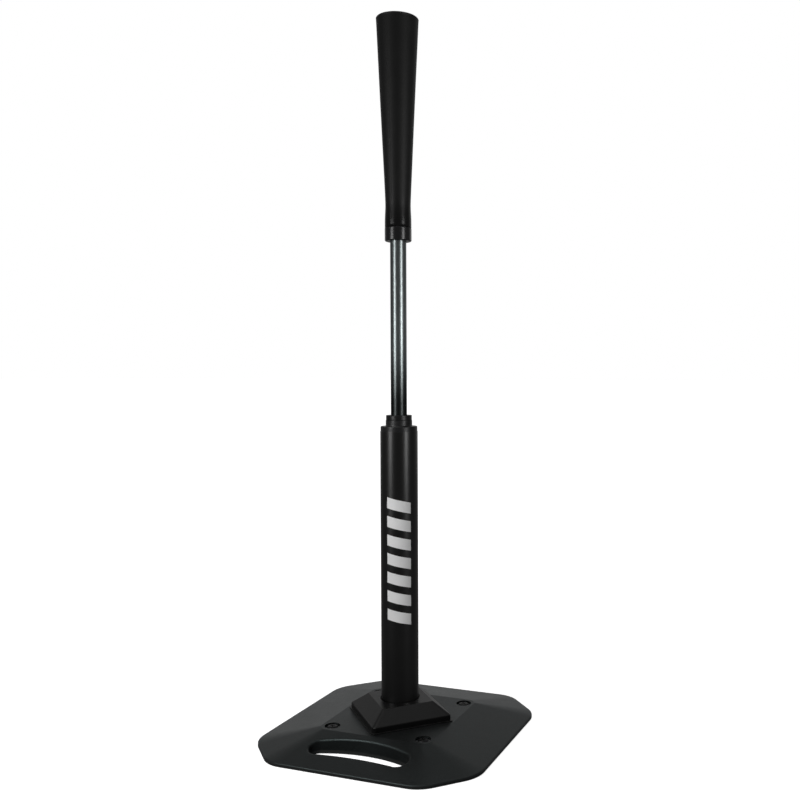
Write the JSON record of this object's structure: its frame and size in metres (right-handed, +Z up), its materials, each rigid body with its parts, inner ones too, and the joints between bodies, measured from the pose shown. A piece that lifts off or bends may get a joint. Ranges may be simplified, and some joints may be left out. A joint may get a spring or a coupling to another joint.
{
  "type": "batting tee",
  "caption": "Free-standing batting tee: weighted square base with a carry slot, fixed lower tube, sliding stem and a flexible hollow rubber cone that holds the ball.",
  "frame": {"origin": "on the ground at the middle of the base, on the pole's axis", "axes": "+Z up along the pole, -Y towards the side of the base with the carry slot, +X to the right seen from that side"},
  "size_m": [0.2794, 0.2794, 0.847],
  "materials": {
    "shell_plastic": "charcoal moulded composite with a fine pebble texture",
    "plate_steel": "dark mill primer",
    "mat_rubber": "matte, finely ribbed",
    "pedestal_plastic": "black, fine texture",
    "black_screw": "black oxide",
    "zinc": "zinc plated",
    "tube_paint": "satin black powder coat",
    "nylon": "natural nylon",
    "seal_rubber": "black nitrile",
    "bushing_plastic": "black acetal, satin",
    "brass_washer": "plain",
    "stem_steel": "dark gunmetal, finely speckled",
    "ferrule_plastic": "black gloss",
    "cone_rubber": "matte black"
  },
  "bodies": {
    "base": {"base_shell": "shell_plastic", "ballast_plate": "plate_steel", "grip_mat": "mat_rubber", "pedestal": "pedestal_plastic", "shell_screws": "black_screw", "screw_washers": "zinc", "pedestal_screws": "zinc", "outer_tube": "tube_paint", "tube_end_plug": "nylon", "center_bolt": "zinc", "tube_seal_ring": "seal_rubber", "guide_bushing": "bushing_plastic", "wiper_ring": "seal_rubber", "neck_cap": "bushing_plastic"},
    "piston": {"friction_piston": "nylon", "piston_rings": "seal_rubber", "thrust_washer": "brass_washer"},
    "stem": {"stem_rod": "stem_steel", "stem_end_plug": "nylon", "shoulder_screw": "zinc", "cone_adapter": "ferrule_plastic", "adapter_pin": "zinc", "cone_sleeve": "cone_rubber"},
    "cone": {"cone_top": "cone_rubber"}
  },
  "joints": [
    {"name": "height_slide", "type": "slide", "parent": "base", "child": "piston", "axis": [0, 0, 1], "range_m": [-0.205, 0.07]},
    {"name": "stem_swivel", "type": "hinge", "parent": "piston", "child": "stem", "pos_m": [0, 0, 0.26], "axis": [0, 0, 1], "continuous": true},
    {"name": "cone_flex", "type": "hinge", "parent": "stem", "child": "cone", "pos_m": [0, 0, 0.65], "axis": [1, 0, 0], "range_deg": [-30, 30], "stiffness_Nm_per_rad": 3}
  ]
}
